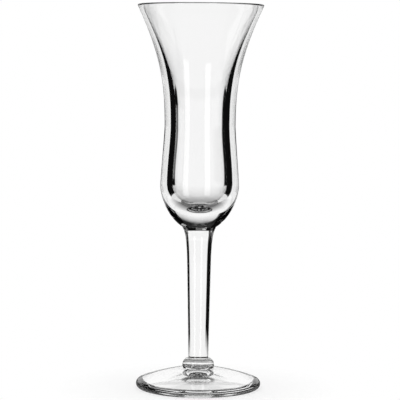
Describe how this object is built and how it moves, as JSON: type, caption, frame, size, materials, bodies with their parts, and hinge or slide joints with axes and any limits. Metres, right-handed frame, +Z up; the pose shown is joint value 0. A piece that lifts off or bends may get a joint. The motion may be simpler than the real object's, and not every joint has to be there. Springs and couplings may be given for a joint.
{
  "type": "cordial glass",
  "caption": "Clear stem glass for cordials: a flared bowl with a waist and a thick base, on a tapered solid stem with a bead above a domed round foot.",
  "frame": {"origin": "middle of the ring that the foot stands on", "axes": "+Z up along the glass's axis, from foot to mouth; X and Y lie in the standing plane and are alike, because the glass is round"},
  "size_m": [0.0506, 0.0506, 0.1552],
  "materials": {
    "clear_glass": "clear, fire-polished"
  },
  "bodies": {
    "root": {"bowl": "clear_glass", "stem": "clear_glass", "knop": "clear_glass", "foot": "clear_glass"}
  },
  "joints": []
}
